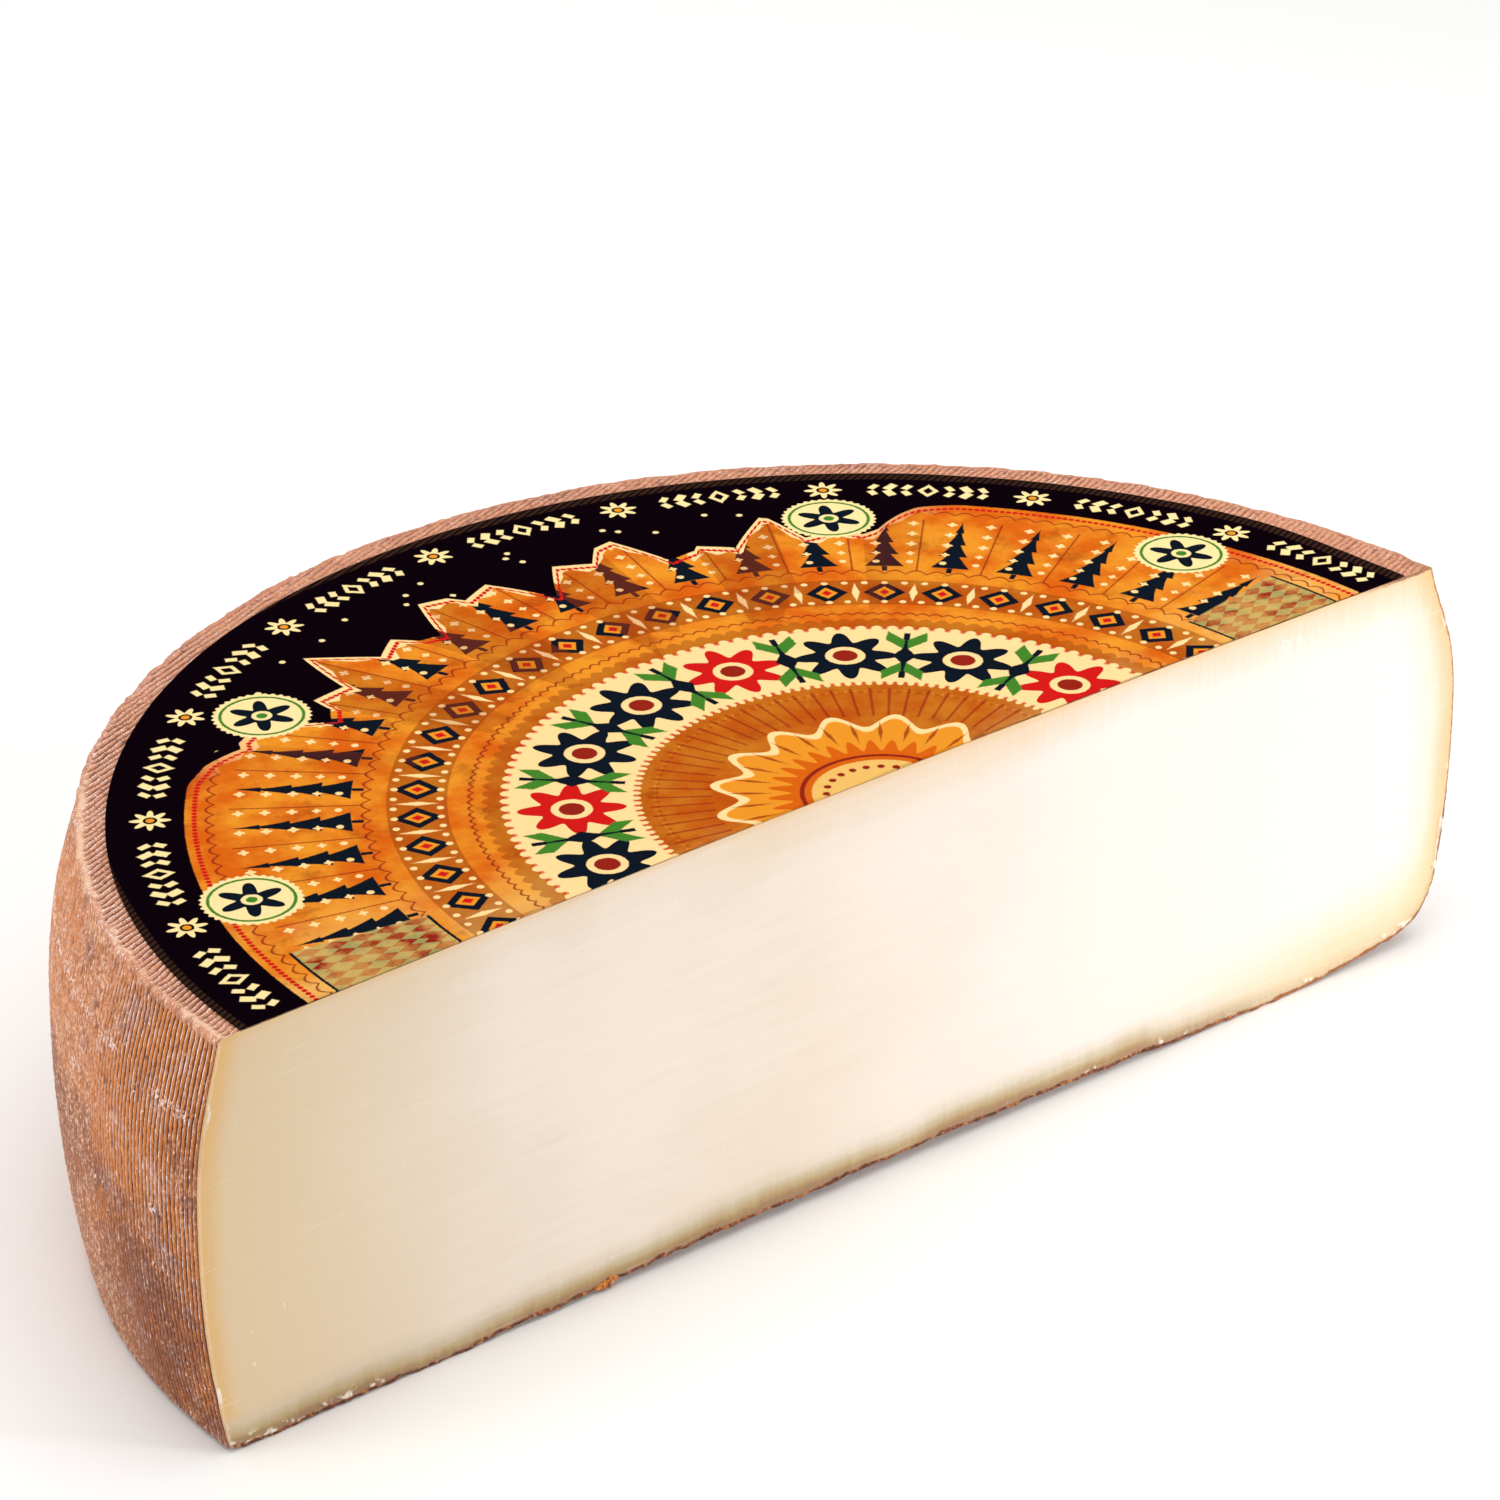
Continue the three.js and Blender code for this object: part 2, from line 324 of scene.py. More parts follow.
# the top's rind: a rounding at the edge, the ribbed band with its raised seam, and a plain middle.
# The seam is a bell curve of the distance in from the edge, as high as a noise of the way round.
def makeRindTop():
    columns = rind["panels"] * (rind["panelColumns"] - 1) + 1
    u = np.linspace(0, 1, columns)[None, :]
    bead = wheel["bead"]
    innerBand = 154 * mm
    turn = np.linspace(0, math.pi / 2, 8)[:, None]
    angle = rowAngles(u, wheel["waistRadius"], wheel["axisY"], rindFrontY)
    along = angle * wheel["waistRadius"]
    edge, edgeMarks = sideSurface(angle, wheel["height"] - bead + 0 * angle)
    atLeft = smoothStep(math.radians(118), math.radians(150), angle)
    seamPower = np.clip(0.62 * atLeft + 0.55 * latticeNoise(along / (14 * mm), 0 * along, 34)
                        + 0.5 * latticeNoise(along / (1.7 * mm), 0 * along, 35) - 0.3 * (1 - atLeft), 0, 1)
    seamPlace = rind["seamIn"] + 0.35 * mm * latticeNoise(along / (4 * mm), 0 * along, 36)

    def seamAt(radius):
        return np.exp(-((edge - radius - seamPlace) / rind["seamWidth"]) ** 2) * seamPower

    beadRadius = edge - bead * (1 - np.cos(turn))
    beadSeam = seamAt(beadRadius)
    beadZ = (wheel["height"] - bead + bead * np.sin(turn)
             + (0.4 * edgeLump(angle + 0.4) + rind["seamRise"] * beadSeam) * np.sin(turn))
    rounding = aroundAxis(angle + 0 * beadRadius, beadRadius, beadZ, rindFrontY)
    rowsIn = np.linspace(0, 1, rind["rimRows"] + 1)[1:, None]
    bandRadius = (edge - bead) * (1 - rowsIn) + innerBand * rowsIn
    band = aroundAxis(angle + 0 * bandRadius, bandRadius, domeHeight(bandRadius), rindFrontY)
    seam = seamAt(bandRadius)
    # darker mauve along the rim's edge, most at the right and in patches from noise
    rimEdgeDarkening = np.clip(0.6 + 0.9 * latticeNoise(along / (8 * mm), 0 * along, 40), 0, 1) * (1 - 0.75 * atLeft)
    rimEdgeDarkening = 0.35 * rimEdgeDarkening * np.exp(-((edge - bandRadius) / (2.6 * mm)) ** 2)
    rib, ribSlope, power = weaveWaves(band[..., 0], band[..., 1])
    onset = smoothStep(0, 0.05, rowsIn) * (1 - 0.75 * seam)
    meal = latticeNoise(band[..., 0] / (0.8 * mm), band[..., 1] / (0.8 * mm), 37)
    band[..., 2] += (rind["weaveDepth"] * (rib * power - 0.6) * onset + rind["seamRise"] * seam
                     + 0.4 * edgeLump(angle + 0.4) * (1 - smoothStep(0, 0.25, rowsIn)) + 0.04 * mm * meal)
    coarse = np.array([145, 115, 80, 45, 20, 4.5 + rind["recess"] / mm])[:, None] * mm
    coarseAngle = rowAngles(u, coarse, wheel["axisY"], rindFrontY)
    flat = aroundAxis(coarseAngle, coarse, domeHeight(coarse) - 0.1 * mm, rindFrontY)
    under = np.array([20, 90, 155])[:, None] * mm
    underAngle = rowAngles(u, under, wheel["axisY"], rindFrontY)
    inner = aroundAxis(underAngle, under, domeHeight(under) - rind["thickness"], rindFrontY)
    last = aroundAxis(angle, sideRadius(angle, wheel["height"] + 0 * angle) - rind["thickness"],
                      wheel["height"] - 2 * mm, rindFrontY)
    beadMarks = {"crest": edgeMarks["crest"], "meal": edgeMarks["meal"] + 0 * beadRadius, "worn": 0.5,
                 "hollow": 0.3 * (1 - atLeft), "rim": np.sin(turn), "seam": beadSeam}
    bandMarks = {"crest": 1 - (1 - rib) * (0.5 + 0.5 * power) * onset, "slope": ribSlope * power * onset,
                 "meal": meal, "worn": 0.25, "hollow": rimEdgeDarkening, "rim": 1, "seam": seam}
    points = np.concatenate([rounding, band, flat, inner, last])
    plainRows = len(points) - len(rounding) - len(band)
    return closedGrid("rindTop", points, stackMarks(beadMarks, bandMarks, plainRows=plainRows))


# the underside follows baseHeight, with meal and the marks of the shelf's boards as faint ribs
def makeRindBase():
    u = np.linspace(0, 1, rind["baseColumns"])[None, :]
    angle = rowAngles(u, wheel["waistRadius"], wheel["axisY"], rindFrontY)
    edge = sideRadius(angle, wheel["baseEdgeLift"] + 0 * angle)
    last = 4.5 * mm + rind["recess"]
    share = np.linspace(0, 1, 150)[:, None] ** 1.15
    radius = edge * (1 - share) + last * share
    rowAngle = rowAngles(u, radius, wheel["axisY"], rindFrontY)
    outer = aroundAxis(rowAngle, radius, 0, rindFrontY)
    outer[..., 2] = baseHeight(outer[..., 0], outer[..., 1])
    outer[0, :, 2] = np.maximum(outer[0, :, 2], wheel["baseEdgeLift"])
    inner = outer[::-30] * 1
    inner[..., 2] += rind["thickness"]
    inner[-1] = aroundAxis(angle, edge - rind["thickness"], 2 * rind["thickness"], rindFrontY)
    inner[..., 2] = np.maximum(inner[..., 2], baseHeight(inner[..., 0], inner[..., 1]) + rind["thickness"])
    meal = latticeNoise(outer[..., 0] / (1.4 * mm), outer[..., 1] / (1.4 * mm), 38)
    cosine, sine, strength = ridgeWaves(outer[..., 0] / wheel["waistRadius"], 40 * mm + 0 * meal)
    marks = {"crest": 0.65 + 0.35 * cosine * strength, "slope": -0.5 * sine * strength, "meal": meal,
             "worn": 0.8}
    return closedGrid("rindBase", np.concatenate([outer, inner]), stackMarks(marks, plainRows=len(inner)))


paste = {
    "columns": 760,
    "backRows": 8,
    "inset": 0.1 * mm,              # its outline lies this far inside the rind's surface
    "crumbSize": 0.7 * mm,
    "knifeMarks": 0.02 * mm,
    "tornRind": 0.2 * mm,
    "backInset": 1.0 * mm,
}


# the cut face runs from side to side at every height, and a coarse back follows inside the rind
def makePaste():
    s = np.linspace(-1, 1, paste["columns"])[None, :]
    s = np.sign(s) * (1 - (1 - np.abs(s)) ** 1.15)
    t = np.concatenate([np.linspace(0, 0.085, 40), np.linspace(0.085, 0.93, 44)[1:],
                        np.linspace(0.93, 1, 24)[1:]])[:, None]
    toAxis = wheel["cutY"] - wheel["axisY"]

    def reach(angle, sign):
        low = wheel["baseEdgeLift"]
        for _ in range(12):
            zLevel = low + t * (wheel["height"] - low)
            turn = np.clip((zLevel - wheel["height"]) / wheel["bead"] + 1, 0, 1)
            bead = wheel["bead"] * (1 - np.sqrt(1 - turn ** 2))
            radius = sideRadius(angle + 0 * zLevel, zLevel) - bead - paste["inset"]
            edge = np.sqrt(radius ** 2 - toAxis ** 2)
            low = baseHeight(sign * edge[:1], wheel["cutY"] + 0 * edge[:1])
        return edge

    rightX, leftX = reach(0, 1), reach(math.pi, -1)
    x = (rightX - leftX) / 2 + (rightX + leftX) / 2 * s
    cutY = wheel["cutY"] + 0 * x
    low = baseHeight(x, cutY) + paste["inset"]
    high = domeHeight(np.hypot(x, toAxis)) - paste["inset"]
    z = low + t * (high - low)
    fromBase, fromTop = z - low, high - z
    fromSide = np.minimum(rightX - x, x + leftX)
    overLine = smoothStep(0.5 * mm, 1.1 * mm, fromBase) * (1 - smoothStep(1.6 * mm, 3.4 * mm, fromBase))
    nearSide = smoothStep(0.1 * mm, 0.5 * mm, fromSide) * (1 - smoothStep(0.7 * mm, 2.0 * mm, fromSide))
    leftPart = 0.85 * (1 - smoothStep(-146 * mm, -122 * mm, x))
    cluster = np.clip(latticeNoise(x / (5 * mm), z / (6 * mm), 43) * 2.4 - 0.9, 0, 1)
    grain = (latticeNoise(x / (1.5 * mm), z / (1.0 * mm), 41)
             + 0.6 * latticeNoise(x / (0.7 * mm), z / (0.6 * mm), 42))
    crumb = np.clip(grain * 1.2 - 0.15, 0, 1) * np.maximum(
        overLine * np.maximum(leftPart, 0.8 * cluster), 0.9 * nearSide * cluster)
    chip = np.exp(-((x + leftX) / (1.5 * mm)) ** 2 - ((z - 15 * mm + 0.9 * (x + leftX)) / (2.6 * mm)) ** 2)
    crumb = np.maximum(crumb, np.clip(chip * 2.2 - 0.8 + 0.3 * grain, 0, 0.9))
    rubbed = np.exp(-((z - 27 * mm) / (4.5 * mm)) ** 2) + 0.9 * np.exp(-((z - 18 * mm) / (2.6 * mm)) ** 2)
    rubbed = rubbed * np.exp(-((rightX - x - 0.9 * mm) / (1.2 * mm)) ** 2)
    smear = 0.6 * np.exp(-((x - 121 * mm) / (6 * mm)) ** 2 - ((z - 88 * mm) / (2.5 * mm)) ** 2)
    crumb = np.maximum(crumb, np.clip((rubbed + smear) * (0.95 + 1.1 * grain) - 0.3, 0, 0.9))
    knife = (latticeNoise(x / (60 * mm), z / (0.8 * mm), 44)
             + 0.6 * latticeNoise(x / (35 * mm), z / (3.5 * mm), 45))
    torn = latticeNoise(x / (1.6 * mm), z / (1.2 * mm), 46) * (1 - smoothStep(0.4 * mm, 1.3 * mm, fromBase))
    y = (cutY - paste["crumbSize"] * crumb + paste["knifeMarks"] * knife
         + paste["tornRind"] * (torn - 0.6 * (torn != 0)))
    front = np.stack([x, y, z], axis=-1)
    tBack = np.linspace(0.985, 0.015, paste["backRows"])[:, None]
    zBack = wheel["height"] * tBack
    angle = math.pi - rowAngles((s + 1) / 2, wheel["waistRadius"], wheel["axisY"], wheel["cutY"])
    backRadius = sideRadius(angle + 0 * zBack, zBack) - paste["backInset"]
    back = aroundAxis(angle + 0 * zBack, backRadius, zBack, wheel["cutY"] + 0.3 * mm)
    lowBack = baseHeight(back[..., 0], back[..., 1]) + paste["backInset"]
    back[..., 2] = np.maximum(back[..., 2], lowBack)
    points = np.concatenate([front, back])
    plain = np.zeros((paste["backRows"], paste["columns"]))
    return closedGrid("paste", points, {
        "fromBase": np.concatenate([fromBase, plain + 10 * mm]),
        "fromTop": np.concatenate([fromTop, plain + 10 * mm]),
        "fromSide": np.concatenate([fromSide, plain + 10 * mm]),
        "crumb": np.concatenate([crumb, plain]),
    })


flake = {
    "x": -71 * mm,
    "halfLength": 3.6 * mm,
    "halfHeight": 1.25 * mm,
    "halfDepth": 1.2 * mm,
    "tilt": 0.2,
    "ragged": 0.3,
}


# a torn flake of rind at the base edge: rings whose radius is the sine of the way along, to a
# power, times one plus noise, so that it is thick in the middle and ends in two points
def makeFlake():
    t = np.linspace(0.02, 0.98, 60)[None, :]
    turn = np.linspace(0, 2 * math.pi, 36, endpoint=False)[:, None]
    noise = latticeNoise(4 + 9 * t + 0 * turn, 4 + 1.3 * np.cos(turn) + 0 * t, 61)
    noise = noise + 0.6 * latticeNoise(9 + 19 * t, 4 + 2.1 * np.sin(turn + 1), 62)
    girth = np.sin(math.pi * t ** 1.3) ** 0.8 * (1 + flake["ragged"] * noise) * 0.95
    along = flake["halfLength"] * (2 * t - 1)
    lift = flake["halfHeight"] * girth * np.sin(turn)
    middle = baseHeight(np.array([flake["x"]]), np.array([wheel["cutY"]]))[0] + 0.16 * mm
    x = flake["x"] + along * math.cos(flake["tilt"]) - lift * math.sin(flake["tilt"])
    y = wheel["cutY"] + 0.32 * mm + flake["halfDepth"] * girth * np.cos(turn)
    z = np.maximum(middle + along * math.sin(flake["tilt"]) + lift * math.cos(flake["tilt"]), 0.02 * mm)
    return closedGrid("rindFlake", np.stack([x, y, z], axis=-1), {})


label = {
    "radius": 159.5 * mm,
    "centreX": -1.8 * mm,
    "beforeAxis": 2.1 * mm,         # its centre lies this far in front of the wheel's axis
    "gap": 0.1 * mm,
    "thickness": 0.25 * mm,
    "ripple": 0.05 * mm,
    "cornerInset": 2.3 * mm,        # its right end comes in a little
    "ragged": 0.5 * mm,             # the knife left its front edge a little uneven
    "columns": 900,
    "rows": 60,
}
labelCentreY = wheel["axisY"] - label["beforeAxis"]


# a half disc in polar rows about its own centre, lying on the dome, as a thin closed sheet. Its
# radius is less at the right end, and its front edge goes back by the positive part of a noise.
def makeLabel():
    u = np.linspace(0, 1, label["columns"])[None, :]
    last = wheel["cutY"] - labelCentreY
    share = np.linspace(0, 1, label["rows"])[:, None]
    upper = label["radius"] * (1 - share) + last * share
    lower = np.array([last, 60 * mm, 120 * mm, label["radius"]])[:, None]

    def sheet(radius, lift):
        angle = rowAngles(u, radius, labelCentreY, wheel["cutY"])
        inset = label["cornerInset"] * (1 - smoothStep(0.09, 0.34, angle))
        radius = radius * (1 - inset / label["radius"])
        x = label["centreX"] + radius * np.cos(angle)
        back = latticeNoise(x / (9 * mm), 0 * x, 52) + 0.5 * latticeNoise(x / (2.1 * mm), 0 * x, 53)
        front = wheel["cutY"] + label["ragged"] * np.clip(back, 0, 1)
        y = np.maximum(labelCentreY + radius * np.sin(angle), front)
        ripple = label["ripple"] * latticeNoise(x / (9 * mm), y / (9 * mm), 51)
        z = domeHeight(np.hypot(x, y - wheel["axisY"])) + lift + ripple
        return np.stack([x, y, z], axis=-1)

    top = sheet(upper, label["gap"] + label["thickness"])
    bottom = sheet(lower, label["gap"])
    return closedGrid("labelSheet", np.concatenate([top, bottom]), {})


# a socket that can be added, multiplied and compared in an expression, which makes Math nodes
class Wire:
    def __init__(self, paint, socket):
        self.paint, self.socket = paint, socket

    def maths(self, operation, *others):
        return self.paint.node("ShaderNodeMath", {"operation": operation}, [self, *others])

    def __add__(self, other):
        return self.maths("ADD", other)

    def __sub__(self, other):
        return self.maths("SUBTRACT", other)

    def __rsub__(self, other):
        return self.paint.minus(other, self)

    def __mul__(self, other):
        return self.maths("MULTIPLY", other)

    def __truediv__(self, other):
        return self.maths("DIVIDE", other)

    def __neg__(self):
        return self * -1

    def __abs__(self):
        return self.maths("ABSOLUTE")

    def __gt__(self, other):
        return self.maths("GREATER_THAN", other)

    def __lt__(self, other):
        return self.maths("LESS_THAN", other)

    __radd__ = __add__
    __rmul__ = __mul__


# one material and the nodes that it is painted with
class Paint:
    def __init__(self, name):
        self.material = bpy.data.materials.new(name)
        self.material.use_nodes = True
        self.tree = self.material.node_tree
        self.shader = self.tree.nodes["Principled BSDF"]
        self.place = self.node("ShaderNodeTexCoord", {}, {}, "Object")

    def node(self, kind, settings, inputs, output=0):
        made = self.tree.nodes.new(kind)
        for key, value in settings.items():
            setattr(made, key, value)
        pairs = inputs.items() if isinstance(inputs, dict) else enumerate(inputs)
        for key, value in pairs:
            if isinstance(value, Wire):
                self.tree.links.new(value.socket, made.inputs[key])
            else:
                made.inputs[key].default_value = value
        return Wire(self, made.outputs[output])

    def minus(self, value, wire):
        return self.node("ShaderNodeMath", {"operation": "SUBTRACT"}, [value, wire])

    def attribute(self, name):
        return self.node("ShaderNodeAttribute", {"attribute_name": name}, {}, "Fac")

    def split(self, vector):
        made = self.tree.nodes.new("ShaderNodeSeparateXYZ")
        self.tree.links.new(vector.socket, made.inputs[0])
        return [Wire(self, socket) for socket in made.outputs]

    def join(self, x, y, z):
        return self.node("ShaderNodeCombineXYZ", {}, [x, y, z])

    # noise about 0.5, with its cells this many metres wide along x, y and z
    def noise(self, cell, detail=2.0, roughness=0.5, place=None, shift=(0, 0, 0)):
        cells = cell if isinstance(cell, tuple) else (cell, cell, cell)
        scaled = self.node("ShaderNodeMapping", {}, {
            "Vector": place or self.place, "Location": shift, "Scale": tuple(1 / c for c in cells)})
        return self.node("ShaderNodeTexNoise", {}, {
            "Vector": scaled, "Scale": 1.0, "Detail": detail, "Roughness": roughness})

    def ease(self, value, low, high):
        return self.node("ShaderNodeMapRange", {"interpolation_type": "SMOOTHSTEP"}, {
            "Value": value, "From Min": low, "From Max": high, "To Min": 0.0, "To Max": 1.0})

    def mix(self, share, first, second):
        made = self.tree.nodes.new("ShaderNodeMix")
        made.data_type = "RGBA"
        for key, value in (("Factor_Float", share), ("A_Color", first), ("B_Color", second)):
            socket = next(s for s in made.inputs if s.identifier == key)
            if isinstance(value, Wire):
                self.tree.links.new(value.socket, socket)
            else:
                socket.default_value = value
        return Wire(self, next(s for s in made.outputs if s.identifier == "Result_Color"))

    def bump(self, height, distance, strength=1.0, normal=None):
        inputs = {"Height": height, "Distance": distance, "Strength": strength}
        if normal is not None:
            inputs["Normal"] = normal
        return self.node("ShaderNodeBump", {}, inputs)

    def finish(self, links, values):
        for key, value in links.items():
            self.tree.links.new(value.socket, self.shader.inputs[key])
        for key, value in values.items():
            self.shader.inputs[key].default_value = value
        return self.material


# a colour as the eye sees it, from 0 to 255, turned into linear light
def colour(red, green, blue):
    light = [((v / 255 + 0.055) / 1.055) ** 2.4 if v > 10 else v / 255 / 12.92 for v in (red, green, blue)]
    return (*light, 1.0)


rindLook = {
    "groove": colour(92, 34, 14),
    "body": colour(208, 140, 106),
    "amber": colour(216, 126, 36),
    "bloomAndHighlight": colour(252, 236, 232),
    "mauve": colour(98, 52, 52),
    "rose": colour(212, 146, 112),
    "shade": colour(122, 58, 34),
    "middle": colour(206, 132, 78),
    "curd": colour(242, 212, 188),
    "straw": colour(236, 196, 162),
    "roughness": 0.66,
}


# pinkish tan, with amber on one flank of each ridge, partly painted shade, and a painted highlight on the
# other flank and the crests, painted shade in the grooves and the meal's low points, clouded with mauve low
# down, and mottled like curd where the ridges are worn
def makeRindMaterial():
    look = rindLook
    paint = Paint("washedRind")
    x, y, z = paint.split(paint.place)
    crest, slope, meal, worn = (paint.attribute(name) for name in ("crest", "slope", "meal", "worn"))
    dustAndKnotGlint, hollow, rim, seam = (paint.attribute(name) for name in ("dustAndKnotGlint", "hollow", "rim", "seam"))
    grain = paint.noise((0.55 * mm, 0.55 * mm, 0.8 * mm), 3, 0.6) - 0.5
    fine = paint.noise((0.5 * mm, 0.5 * mm, 1.3 * mm), 2, 0.5, shift=(9, 4, 2)) - 0.5
    blotch = paint.noise(8 * mm, 3, 0.6) - 0.5
    cloud = paint.noise(30 * mm, 2, 0.5, shift=(3.1, 0.7, 5.2)) - 0.5

    farBack = paint.ease(y, -72 * mm, -30 * mm)
    # amber on the flank turned from the light, partly the rind's own amber and partly painted shade, in
    # patches from noise
    amberAndShadedFlank = paint.ease(slope * -1 + fine * 1.6 + blotch, 0, 0.45) * (0.95 - farBack * 0.35)
    skin = paint.mix(amberAndShadedFlank, look["body"], look["amber"])
    skin = paint.mix(paint.ease(blotch + grain * 0.5, -0.05, 0.3) * 0.35, skin, look["bloomAndHighlight"])
    skin = paint.mix(rim * 0.75, skin, look["rose"])
    lumps = grain * 1.3 + meal * 0.12 + fine * 1.0
    curd = paint.ease(lumps, 0.02, 0.2)
    mottle = paint.mix(paint.ease(lumps, -0.24, -0.06), look["shade"], look["middle"])
    mottle = paint.mix(curd, mottle, look["curd"])
    skin = paint.mix(worn * 0.85 * (1 - rim * 0.5), skin, mottle)
    low = 1 - paint.ease(z, 16 * mm, 64 * mm)
    spared = 1 - curd * worn * 0.7
    lowBand = low * (paint.ease(z, 6 * mm, 34 * mm) * 0.85 + 0.15) * (1 - farBack * 0.6)
    skin = paint.mix(lowBand * spared * 0.36, skin, look["shade"])
    dusky = paint.ease(cloud + low * 0.3 + blotch * 0.4 + meal * -0.08 - curd * 0.14, -0.06, 0.26)
    dusky = dusky * (1 - rim * 0.8) * (1 - low * farBack * 0.5)
    skin = paint.mix(dusky * spared * 0.66, skin, look["mauve"])
    # dark in the grooves: painted shade over the rind's own darker brown there
    depth = 1 - paint.ease(crest + grain * 0.6, 0.14, 0.72)
    skin = paint.mix(depth * (1 - rim * 0.12), skin, look["groove"])
    # dark in the meal's low points: painted shade
    mealHollowShade = paint.ease(meal * -1 + grain * 1.6, 0.4, 0.9)
    skin = paint.mix(mealHollowShade * 0.6, skin, look["groove"])
    # painted highlight: paler on the flank of each ridge and rib that faces the light, on the crests, and
    # more on the rim at the left
    top = (crest * 2 - 1) * (1 - worn)
    clearRim = rim * (0.12 - paint.ease(x, -130 * mm, -30 * mm) * 0.22)
    pale = slope * 0.7 + top * 0.5 + clearRim + fine * 2 + blotch * 0.6 - dusky * 0.2
    pale = paint.ease(pale, 0.45, 0.66)
    skin = paint.mix(pale * (0.97 - rim * 0.2), skin, look["bloomAndHighlight"])
    # pale specks, partly a painted highlight on the meal's raised points
    flecksAndMealHighlight = paint.ease(meal * 0.5 + worn * 0.1 + grain * 1.4 + fine * 1.4, 0.52, 0.68)
    skin = paint.mix(flecksAndMealHighlight * 0.7, skin, look["bloomAndHighlight"])
    skin = paint.mix(paint.ease(seam + grain * 1.5, 0.3, 0.9) * 0.8, skin, look["straw"])
    # pale dusting along the belt and in spots, with the painted highlight on the knot
    skin = paint.mix(paint.ease(dustAndKnotGlint + grain * 3, 0.5, 1.0) * 0.8, skin, look["bloomAndHighlight"])
    # mauve in the dip beside the knot, as painted shade; along the top's edge this mark is a darker mauve,
    # most at the right
    skin = paint.mix(hollow * 0.8, skin, look["mauve"])
    normal = paint.bump(paint.noise((0.4 * mm, 0.4 * mm, 0.55 * mm), 3, 0.6), 0.3 * mm, 0.8)
    return paint.finish({"Base Color": skin, "Normal": normal}, {
        "Roughness": look["roughness"], "Specular IOR Level": 0.4})


pasteLook = {
    "heart": colour(227, 211, 193),
    "pale": colour(233, 219, 205),
    "outer": colour(219, 194, 156),
    "far": colour(233, 224, 216),
    "nearSide": colour(221, 176, 112),
    "blush": colour(228, 182, 132),
    "sideLine": colour(238, 206, 166),
    "sideRind": colour(176, 108, 60),
    "baseShadeGrey": colour(206, 190, 164),
    "baseShadePeach": colour(224, 198, 150),
    "olive": colour(178, 150, 100),
    "mauve": colour(150, 112, 86),
    "rindLine": colour(112, 58, 34),
    "rindPit": colour(62, 30, 22),
    "rindSpark": colour(196, 124, 62),
    "crumb": colour(242, 228, 212),
    "roughness": 0.45,
}
